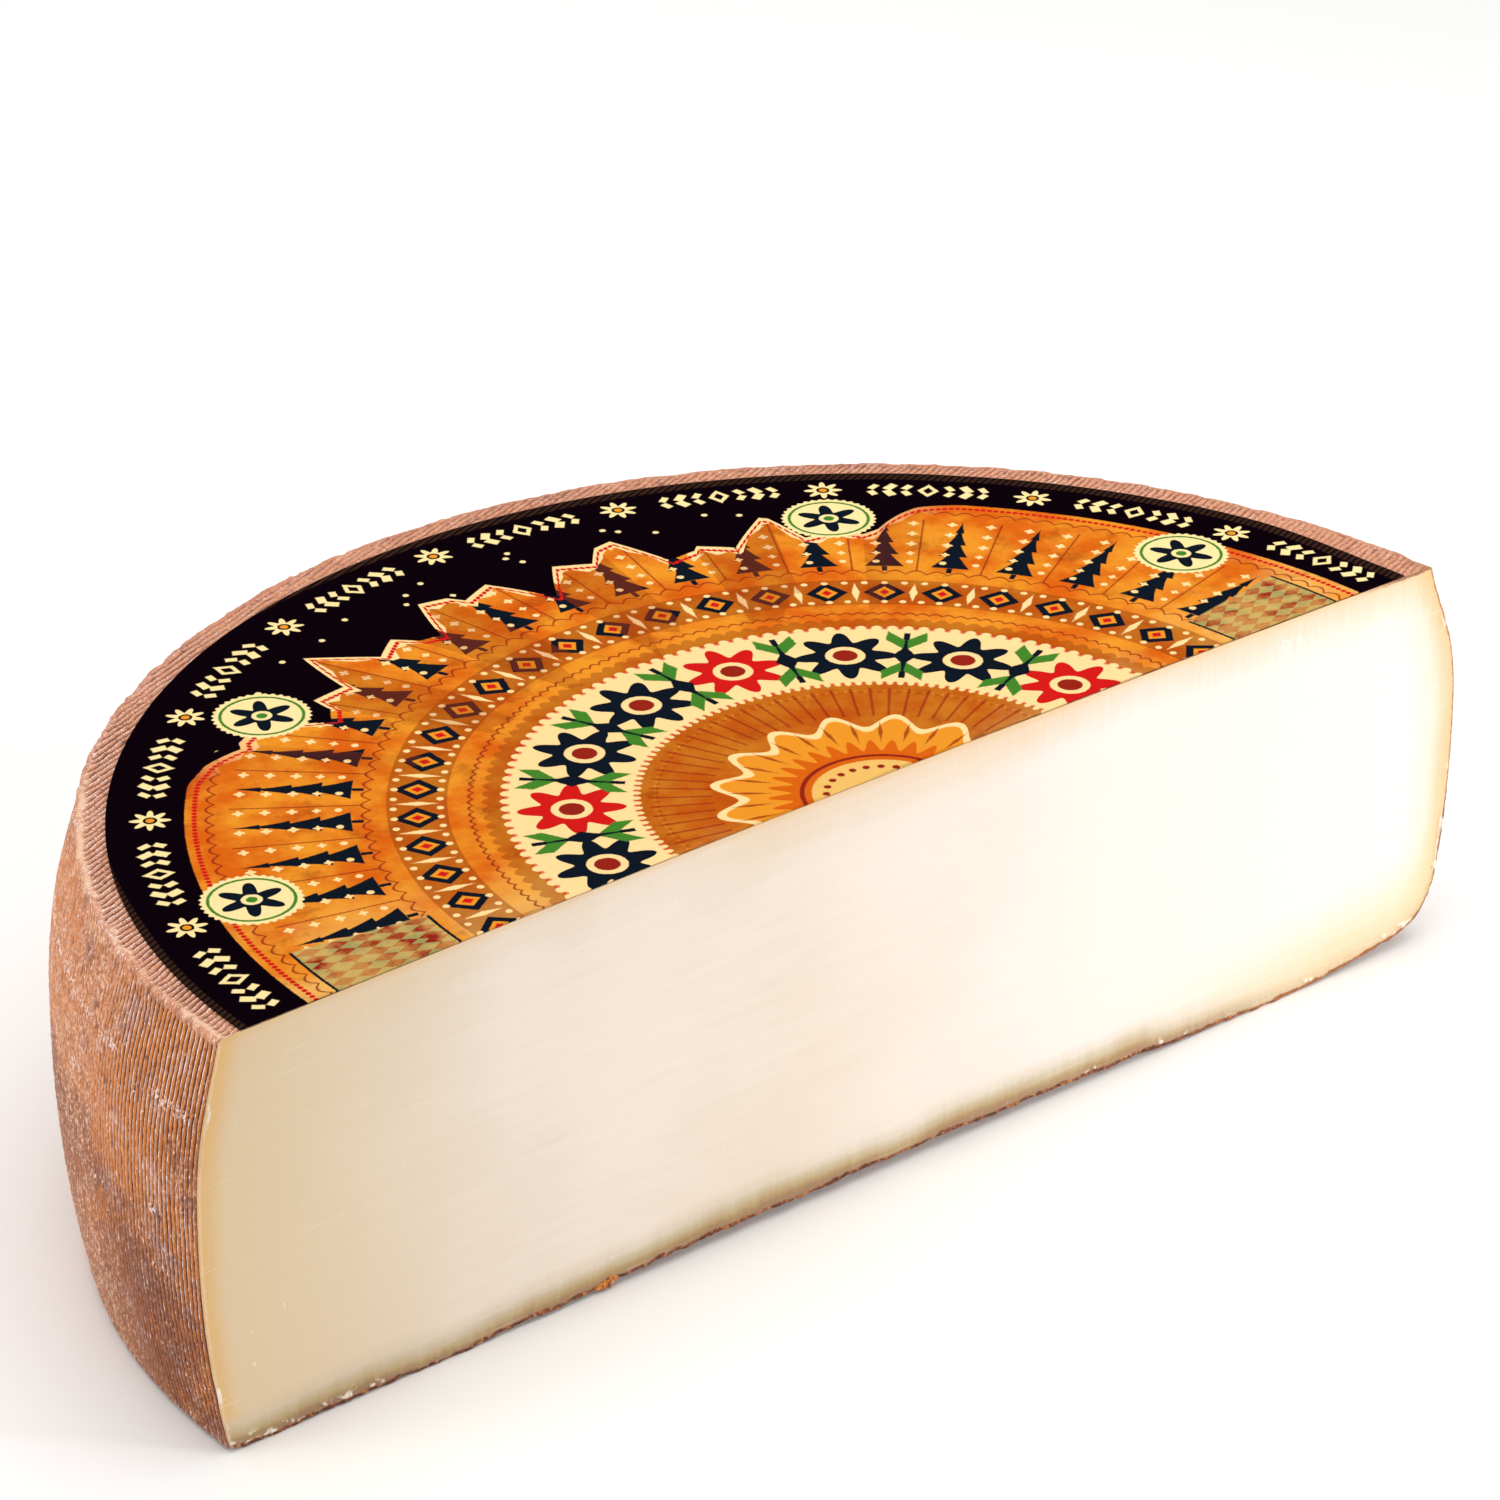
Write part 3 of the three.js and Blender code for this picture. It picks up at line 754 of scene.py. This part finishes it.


# ivory, warmer towards the two sides, yellower and darker at the left and paler at the right, partly as
# painted light from the right, with painted shade in grey, olive and mauve down to the ragged line of the
# base's rind, with knife streaks along it and torn pale crumbs
def makePasteMaterial():
    look = pasteLook
    paint = Paint("cheesePaste")
    x, y, z = paint.split(paint.place)
    fromBase, fromSide = paint.attribute("fromBase"), paint.attribute("fromSide")
    fromTop, crumb = paint.attribute("fromTop"), paint.attribute("crumb")
    slow = paint.noise(45 * mm, 2) - 0.5
    wisp = paint.noise((30 * mm, 30 * mm, 2.2 * mm), 3, 0.6) - 0.5
    fibre = paint.noise((1.1 * mm, 1.1 * mm, 9 * mm), 2) - 0.5
    skin = paint.mix(paint.ease(slow + wisp * 0.5, -0.25, 0.25), look["heart"], look["pale"])
    # yellower and darker at the left, partly the paste's own tone and partly painted shade; paler at the
    # right, painted light from the right
    skin = paint.mix((1 - paint.ease(x, -172 * mm, -88 * mm)) * 0.95, skin, look["outer"])
    skin = paint.mix(paint.ease(x, -20 * mm, 80 * mm) * 0.85, skin, look["far"])
    side = fromSide + (slow * 5 + fibre * 2) * mm
    right = paint.ease(x, -60 * mm, 100 * mm)
    reach = (right * 9 + 7) * mm
    skin = paint.mix((1 - paint.ease(side / reach, 0.05, 1)) * (0.9 - right * 0.5), skin, look["nearSide"])
    skin = paint.mix((1 - paint.ease(side, 0.4 * mm, 7 * mm)) * right * 0.9, skin, look["blush"])
    # grey, olive and mauve towards the base edge, and a pinkish tan there at the right: painted shade along
    # the base
    base = fromBase + (slow * 5 + wisp * 1.5 + fibre * 1.2) * mm
    far = paint.ease(x, 70 * mm, 140 * mm)
    skin = paint.mix((1 - paint.ease(base, 1 * mm, 23 * mm)) * far * 0.85, skin, look["baseShadePeach"])
    skin = paint.mix((1 - paint.ease(base, 3.6 * mm, 9.5 * mm)) * (0.85 - far * 0.7), skin, look["baseShadeGrey"])
    skin = paint.mix((1 - paint.ease(base, 1.6 * mm, 6 * mm)) * (0.95 - far * 0.7), skin, look["olive"])
    skin = paint.mix((1 - paint.ease(base, 0.4 * mm, 3.0 * mm)) * (0.85 - far * 0.6), skin, look["mauve"])
    under = fromTop + (slow * 9 + fibre * 4) * mm
    shade = (1 - paint.ease(under, -2 * mm, 13 * mm)) * (right * 0.4 + 0.2)
    skin = paint.mix(shade, skin, look["nearSide"])
    shade = (1 - paint.ease(fromTop + slow * mm, 0.2 * mm, 1.9 * mm)) * 0.4
    skin = paint.mix(shade, skin, look["nearSide"])
    ragged = paint.noise((3.2 * mm, 3.2 * mm, 1.4 * mm), 3, 0.6) - 0.5
    spots = paint.noise(1.1 * mm, 3, 0.6, shift=(5, 1, 3))
    line = 1 - paint.ease(fromBase + ragged * 2.2 * mm, 0.6 * mm, 0.95 * mm)
    rindSkin = paint.mix(paint.ease(spots, 0.52, 0.62), look["rindLine"], look["rindSpark"])
    rindSkin = paint.mix(paint.ease(spots, 0.38, 0.46), look["rindPit"], rindSkin)
    rindSkin = paint.mix(far * 0.6, rindSkin, look["sideRind"])
    skin = paint.mix(line * (1 - paint.ease(crumb, 0.2, 0.45)), skin, rindSkin)
    sideLine = 1 - paint.ease(fromSide + ragged * 0.9 * mm, 0.5 * mm, 1.3 * mm)
    skin = paint.mix(sideLine * (0.55 - right * 0.55), skin, look["sideLine"])
    sideRind = (1 - paint.ease(fromSide + ragged * 1.0 * mm, 0.2 * mm, 0.6 * mm)) * (right * 0.6 + 0.25)
    topRind = 1 - paint.ease(fromTop + ragged * 1.2 * mm, 0.3 * mm, 0.8 * mm)
    topRind = topRind * paint.ease(x, 138 * mm, 156 * mm)
    sideRind = sideRind.maths("MAXIMUM", topRind * 0.85)
    sideSkin = paint.mix(paint.ease(spots, 0.4, 0.6), look["rindLine"], look["sideRind"])
    skin = paint.mix(sideRind, skin, sideSkin)
    skin = paint.mix(paint.ease(crumb + (spots - 0.5) * 0.9, 0.08, 0.6) * 0.9, skin, look["crumb"])
    fleck = paint.ease(paint.noise(1.9 * mm, 1, 0.5, shift=(7, 7, 7)), 0.8, 0.82)
    skin = paint.mix(fleck * 0.5, skin, look["crumb"])
    streak = paint.noise((26 * mm, 26 * mm, 0.6 * mm), 2)
    scratch = paint.ease(streak + slow * 0.3, 0.62, 0.74)
    skin = paint.mix(scratch * 0.22, skin, look["crumb"])
    normal = paint.bump(streak, 0.15 * mm, 0.35)
    normal = paint.bump(paint.noise(1.2 * mm, 3, 0.6), 0.12 * mm, 0.3, normal)
    return paint.finish({"Base Color": skin, "Normal": normal}, {
        "Roughness": look["roughness"], "Specular IOR Level": 0.3})


flakeLook = {
    "amber": colour(206, 122, 22),
    "brown": colour(112, 50, 14),
    "pale": colour(236, 186, 112),
    "roughness": 0.42,
}


# glassy amber with brown spots and a few pale crumbs
def makeFlakeMaterial():
    look = flakeLook
    paint = Paint("amberFlake")
    spots = paint.noise(0.9 * mm, 3, 0.6)
    skin = paint.mix(paint.ease(spots, 0.4, 0.52), look["brown"], look["amber"])
    skin = paint.mix(paint.ease(spots, 0.62, 0.7) * 0.8, skin, look["pale"])
    normal = paint.bump(spots, 0.3 * mm, 0.8)
    return paint.finish({"Base Color": skin, "Normal": normal}, {
        "Roughness": look["roughness"], "Specular IOR Level": 0.5})


# where a point of the label lies in the print, in millimetres and turns about the print's centre
class Print:
    def __init__(self, paint, across, deep, ground):
        self.paint, self.colour = paint, ground
        self.across, self.deep = across, deep
        self.radius = distanceFrom(across, deep)
        self.turn = deep.maths("ARCTAN2", across) / (2 * math.pi)
        self.rough = (paint.noise(0.7 * mm, 2) - 0.5) * 0.35

    # the same cell again and again round a circle: sideways and outward from the cell's middle
    def cells(self, count, radius, phase=0.0):
        share = (self.turn * count + phase).maths("FRACT") - 0.5
        return share * self.radius * (2 * math.pi / count), self.radius - radius

    # 1 in every second cell, or in one of each number of cells
    def every(self, number, count, phase=0.0):
        index = (self.turn * count + phase).maths("FLOOR")
        return (index / number + 0.01).maths("FRACT") < 0.5 / number + 0.02

    def lay(self, ink, outline, share=1.0):
        inside = 1 - self.paint.ease(outline + self.rough, -0.14, 0.14)
        self.colour = self.paint.mix(inside * share, self.colour, ink)


def distanceFrom(u, v):
    return (u * u + v * v).maths("SQRT")


def discOutline(u, v, radius):
    return distanceFrom(u, v) - radius


def lozengeOutline(u, v, halfWidth, halfHeight):
    return (abs(u) / halfWidth + abs(v) / halfHeight - 1) * (0.8 * min(halfWidth, halfHeight))


# petals round a middle: the outline's radius is a cosine of the angle times their number
def flowerOutline(u, v, petals, radius, notch):
    wave = (v.maths("ARCTAN2", u) * petals).maths("COSINE")
    return distanceFrom(u, v) - (wave * 0.5 + 0.5) * (radius * notch) - radius * (1 - notch)


# a fir from its foot to its tip, as wide as 1 - t, with boughs that step in by a sawtooth
def firOutline(u, v, length, width, boughs):
    t = v / length
    step = 1 - (t * boughs).maths("FRACT") * 0.55
    crown = abs(u) - (1 - t) * step * (width / 2)
    crown = crown.maths("MAXIMUM", -v).maths("MAXIMUM", v - length)
    trunk = (abs(u) - 0.6).maths("MAXIMUM", v).maths("MAXIMUM", -v - 2.5)
    return crown.maths("MINIMUM", trunk)


def bandOutline(value, middle, width):
    return abs(value - middle) - width / 2


labelLook = {
    "orange": colour(204, 92, 18),
    "gold": colour(222, 140, 38),
    "straw": colour(226, 178, 96),
    "umber": colour(136, 52, 14),
    "night": colour(11, 3, 9),
    "cream": colour(246, 205, 142),
    "ivory": colour(240, 214, 152),
    "ink": colour(14, 22, 32),
    "red": colour(196, 26, 24),
    "wine": colour(140, 34, 22),
    "leaf": colour(64, 122, 40),
    "olive": colour(150, 140, 84),
    "film": colour(60, 40, 28),
    "roughness": 0.5,
    "ringInside": 143.4,            # these are millimetres from the print's centre
    "ringOutside": 157.8,
}


def makeLabelMaterial():
    look = labelLook
    paint = Paint("printedLabel")
    x, y, z = paint.split(paint.place)
    across = (x - label["centreX"]) / mm
    deep = (y - labelCentreY) / mm
    mottle = paint.noise(16 * mm, 5, 0.62)
    ground = paint.mix(paint.ease(mottle, 0.36, 0.64), look["orange"], look["gold"])
    show = Print(paint, across, deep, ground)
    r, turn = show.radius, show.turn

    # paler towards the middle and the two ends, browner in old-paper blotches
    ends = paint.ease(abs(turn - 0.25), 0.19, 0.245)
    pale = paint.ease(paint.noise(24 * mm, 3, 0.6, shift=(4, 8, 1)), 0.4, 0.62)
    show.colour = paint.mix(ends * pale * 0.75, show.colour, look["straw"])
    brown = paint.ease(paint.noise(11 * mm, 5, 0.7, shift=(1, 5, 2)), 0.54, 0.72)
    show.colour = paint.mix(brown * 0.5, show.colour, look["umber"])

    # thin scallops and rays
    for radius, count, depth in ((137.5, 96, 1.6), (105.5, 72, 1.8), (84.5, 96, 1.0)):
        u, v = show.cells(count, radius)
        arch = (u * (count / radius)).maths("COSINE") * depth
        show.lay(look["wine"], abs(v - abs(arch)) - 0.3, 0.85)
    u, v = show.cells(48, 121, 0.5)
    ray = (abs(u) - 0.22).maths("MAXIMUM", abs(v) - 13.5)
    show.lay(look["wine"], ray, 0.8)

    # firs with cream dots between them
    u, v = show.cells(48, 109.5)
    show.lay(look["ink"], firOutline(u, v, 25, 8.6, 4))
    u, v = show.cells(96, 112.0, 0.25)
    show.lay(look["cream"], discOutline(u, v, 0.8))
    for radius, size in ((116.5, 1.0), (121.5, 1.2), (127.0, 1.2), (132.5, 1.2)):
        u, v = show.cells(96, radius, 0.25)
        show.lay(look["cream"], flowerOutline(u, v, 4, size, 0.4))

    # a row of lozenges on a browner band inside them
    show.lay(look["umber"], bandOutline(r, 96.0, 12.5), 0.55)
    u, v = show.cells(48, 96.0)
    show.lay(look["ink"], lozengeOutline(u, v, 4.6, 5.2))
    show.lay(look["gold"], lozengeOutline(u, v, 2.4, 2.8))
    show.lay(look["red"], lozengeOutline(u, v, 1.2, 1.4))
    u, v = show.cells(48, 96.0, 0.5)
    show.lay(look["cream"], lozengeOutline(u, v, 0.9, 4.4))
    for radius in (91.2, 100.8):
        u, v = show.cells(144, radius)
        show.lay(look["cream"], discOutline(u, v, 0.75))

    # red and olive harlequin at the two ends
    atEnds = paint.ease(abs(turn - 0.25), 0.2205, 0.2215)
    u, v = show.cells(60, 121)
    square = ((u / 3.2 + v / 6.0) * 0.5).maths("FRACT") - 0.5
    other = ((u / 3.2 - v / 6.0) * 0.5).maths("FRACT") - 0.5
    chequer = (square * other).maths("SIGN") * 0.5 + 0.5
    stain = paint.ease(paint.noise(7 * mm, 4, 0.6, shift=(2, 2, 7)), 0.35, 0.6)
    panel = paint.mix(chequer, look["olive"], look["wine"])
    panel = paint.mix(stain * 0.45, panel, look["straw"])
    inPanel = 1 - paint.ease(abs(r - 121), 14.9, 15.1)
    show.colour = paint.mix(atEnds * inPanel, show.colour, panel)
    show.lay(look["ink"], abs(abs(r - 121) - 15.2) - 0.35, atEnds)

    # the cream band, scalloped along both edges, with folk flowers, leaves and hearts of red
    u, v = show.cells(72, 0)
    lace = abs((u * 72 / r).maths("COSINE")) * 1.5
    shade = bandOutline(r, 64.5, 33.5)
    show.lay(look["umber"], shade - lace, 0.5)
    show.lay(look["cream"], bandOutline(r, 64.5, 26) - lace)
    for radius, size in ((51.2, 0.55), (77.8, 0.7)):
        u, v = show.cells(144, radius)
        show.lay(look["red"], discOutline(u, v, size), 0.65)
    flowers = 16
    u, v = show.cells(flowers, 64.5)
    petals = flowerOutline(u, v, 8, 11.2, 0.4)
    show.lay(look["ink"], petals)
    show.lay(look["red"], petals, show.every(3, flowers))
    show.lay(look["cream"], discOutline(u, v, 4.3))
    show.lay(look["wine"], discOutline(u, v, 2.7))
    u, v = show.cells(flowers, 64.5, 0.5)
    show.lay(look["ink"], (abs(u) - 0.7).maths("MAXIMUM", abs(v) - 11))
    leafV = abs(v) - 7.6
    bent = (abs(u) - 2.4) * 0.8 - leafV * 0.35
    show.lay(look["leaf"], lozengeOutline(bent, leafV, 1.7, 4.2))
    show.lay(look["ink"], lozengeOutline(u, v, 2.6, 4.4))

    # the half rosette in the middle
    show.lay(look["umber"], discOutline(across, deep, 47.0), 0.45)
    u, v = show.cells(72, 42)
    show.lay(look["wine"], (abs(u) - 0.3).maths("MAXIMUM", abs(v) - 6.5), 0.7)
    show.lay(look["cream"], flowerOutline(across, deep, 16, 36, 0.16))
    show.lay(look["gold"], flowerOutline(across, deep, 16, 34, 0.18))
    show.lay(look["orange"], flowerOutline(across, deep, 32, 24, 0.2))
    show.lay(look["wine"], abs(r - 17) - 0.5)
    show.lay(look["straw"], discOutline(across, deep, 15))
    u, v = show.cells(24, 12.0)
    show.lay(look["wine"], discOutline(u, v, 0.8))
    u, v = show.cells(32, 28)
    show.lay(look["wine"], lozengeOutline(u, v, 0.5, 4.5), 0.8)

    # the night sky of the rim comes down between the peaks at the back
    behind = 1 - paint.ease(abs(turn - 0.25), 0.095, 0.135)
    peaks = (turn * 41 + 0.2).maths("PINGPONG", 1.0) * 0.6 + (turn * 97 + 0.7).maths("PINGPONG", 1.0) * 0.4
    skyline = behind * (peaks * 22 - 27) + look["ringInside"]
    sky = skyline - r
    flank = ((turn * 20.5 + 0.1).maths("FRACT") > 0.5) * behind
    show.lay(look["umber"], abs(sky - 20) - 20, flank * 0.35)
    ragged = (turn * 260).maths("PINGPONG", 1.0) * 2.2
    cap = (sky + ragged - 4.5).maths("MAXIMUM", skyline * -1 + 123)
    show.lay(look["cream"], cap, behind)
    show.lay(look["night"], sky)
    u, v = show.cells(620, 0)
    bead = discOutline(u, sky - 2.0, 0.62)
    show.lay(look["red"], bead)

    # cream flowers, leaves and lozenges round the rim
    u, v = show.cells(20, 150.4, 0.5)
    show.lay(look["ivory"], flowerOutline(u, v, 8, 4.3, 0.5))
    show.lay(look["night"], discOutline(u, v, 1.5))
    show.lay(look["gold"], discOutline(u, v, 0.9))
    u, v = show.cells(20, 150.4)
    sideways = abs(u)
    show.lay(look["ivory"], lozengeOutline(u, v, 2.4, 3.4))
    show.lay(look["night"], lozengeOutline(u, v, 1.2, 1.8))
    for reach, size in ((4.8, 1.5), (8.6, 1.9), (12.4, 1.5)):
        sprig = (abs(v) - 1.6) + (sideways - reach) * 0.45
        show.lay(look["ivory"], lozengeOutline(sideways - reach, sprig, size * 0.9, size))
    u, v = show.cells(9, 132, 0.15)
    star = lozengeOutline(u, v, 0.9, 0.9).maths("MAXIMUM", sky + 2.5)
    show.lay(look["ivory"], star)
    for count, radius, phase in ((26, 136, 0.4), (31, 139.5, 0.15), (37, 141.5, 0.8)):
        u, v = show.cells(count, radius, phase)
        show.lay(look["ivory"], discOutline(u, v, 0.7).maths("MAXIMUM", sky + 3.5))

    # round cream badges on the rim's inner edge
    for share in (0.055, 0.15, 0.345, 0.443):
        angle = 2 * math.pi * share
        u = across - 135 * math.cos(angle)
        v = deep - 135 * math.sin(angle)
        show.lay(look["ivory"], flowerOutline(u, v, 36, 10.6, 0.05))
        show.lay(look["leaf"], abs(discOutline(u, v, 8.8)) - 0.35)
        show.lay(look["ink"], flowerOutline(u, v, 6, 7.2, 0.55))
        show.lay(look["ivory"], discOutline(u, v, 2.2))
        show.lay(look["leaf"], discOutline(u, v, 1.2))

    # the ink ends a little inside the film, which lets the cloth's ribs show through
    hidden = 1 - paint.ease(abs(turn - 0.36), 0.045, 0.09)
    wide = 1 - paint.ease(turn, 0.22, 0.3)
    corner = 1 - paint.ease(turn, 0.014, 0.054)
    film = r - look["ringOutside"] - hidden * 2 + wide * 1.7 + corner * 2.3
    hatch = ((x * math.sin(0.35) - y * math.cos(0.35)) * (2 * math.pi / rind["weavePitch"])).maths("SINE")
    clear = paint.mix(hatch * 0.4 + 0.45, look["night"], look["film"])
    show.colour = paint.mix(paint.ease(film, -0.1, 0.1), show.colour, clear)

    normal = paint.bump(paint.noise(6 * mm, 3), 0.15 * mm, 0.4)
    return paint.finish({"Base Color": show.colour, "Normal": normal}, {
        "Roughness": look["roughness"], "Specular IOR Level": 0.0})


rindMaterial = makeRindMaterial()
for number in range(rind["panels"]):
    finishPiece(makeRindPanel(number), rindMaterial, "cheese")
finishPiece(makeRindTop(), rindMaterial, "cheese")
finishPiece(makeRindBase(), rindMaterial, "cheese")
finishPiece(makePaste(), makePasteMaterial(), "cheese")
finishPiece(makeFlake(), makeFlakeMaterial(), "cheese")
finishPiece(makeLabel(), makeLabelMaterial(), "label")

studio = {
    "floorSize": 6.0,
    "floor": colour(247, 246, 244),
    "world": (1.0, 1.0, 1.0, 1.0),
    "worldStrength": 0.55,
}


def makeFloor():
    mesh = bpy.data.meshes.new("floor")
    half = studio["floorSize"] / 2
    corners = [(-half, -half, 0), (half, -half, 0), (half, half, 0), (-half, half, 0)]
    mesh.from_pydata(corners, [], [(0, 1, 2, 3)])
    floor = bpy.data.objects.new("floor", mesh)
    bpy.context.scene.collection.objects.link(floor)
    paint = Paint("paleFloor")
    mesh.materials.append(paint.finish({}, {"Base Color": studio["floor"], "Roughness": 0.9}))


def makeSoftbox(name, place, aim, size, power, spread=180):
    light = bpy.data.lights.new(name, "AREA")
    light.shape, light.size, light.energy = "SQUARE", size, power
    light.spread = math.radians(spread)
    lamp = bpy.data.objects.new(name, light)
    lamp.location = place
    lamp.rotation_euler = (Vector(aim) - Vector(place)).to_track_quat("-Z", "Y").to_euler()
    bpy.context.scene.collection.objects.link(lamp)


makeFloor()
world = bpy.data.worlds.new("studioWorld")
bpy.context.scene.world = world
world.use_nodes = True
world.node_tree.nodes["Background"].inputs["Color"].default_value = studio["world"]
world.node_tree.nodes["Background"].inputs["Strength"].default_value = studio["worldStrength"]
makeSoftbox("overheadSoftbox", (0, 0, 1.9), (0, 0, 0), 2.2, 24)
makeSoftbox("rightSoftbox", (0.9, -1.2, 0.5), (0.30, -0.08, 0.05), 0.5, 0.95, 36)
makeSoftbox("leftSoftbox", (-1.4, 0.5, 0.7), (-0.15, -0.04, 0.05), 0.6, 6)

camera = {
    "place": (-0.8518, -1.0452, 0.7543),
    "azimuth": math.radians(-40.4155),
    "elevation": math.radians(26.9255),
    "roll": math.radians(0.215),
    "lens": 168.24,
    "sensor": 36.0,
}


def makeCamera():
    data = bpy.data.cameras.new("camera")
    data.lens, data.sensor_width = camera["lens"], camera["sensor"]
    data.clip_start, data.clip_end = 0.01, 50
    seen = bpy.data.objects.new("camera", data)
    a, e = camera["azimuth"], camera["elevation"]
    back = Vector((math.sin(a) * math.cos(e), -math.cos(a) * math.cos(e), math.sin(e)))
    turn = Quaternion(back, camera["roll"])
    seen.rotation_mode = "QUATERNION"
    seen.rotation_quaternion = turn @ (-back).to_track_quat("-Z", "Y")
    seen.location = camera["place"]
    bpy.context.scene.collection.objects.link(seen)
    bpy.context.scene.camera = seen


makeCamera()
bpy.context.scene.view_settings.view_transform = "Standard"
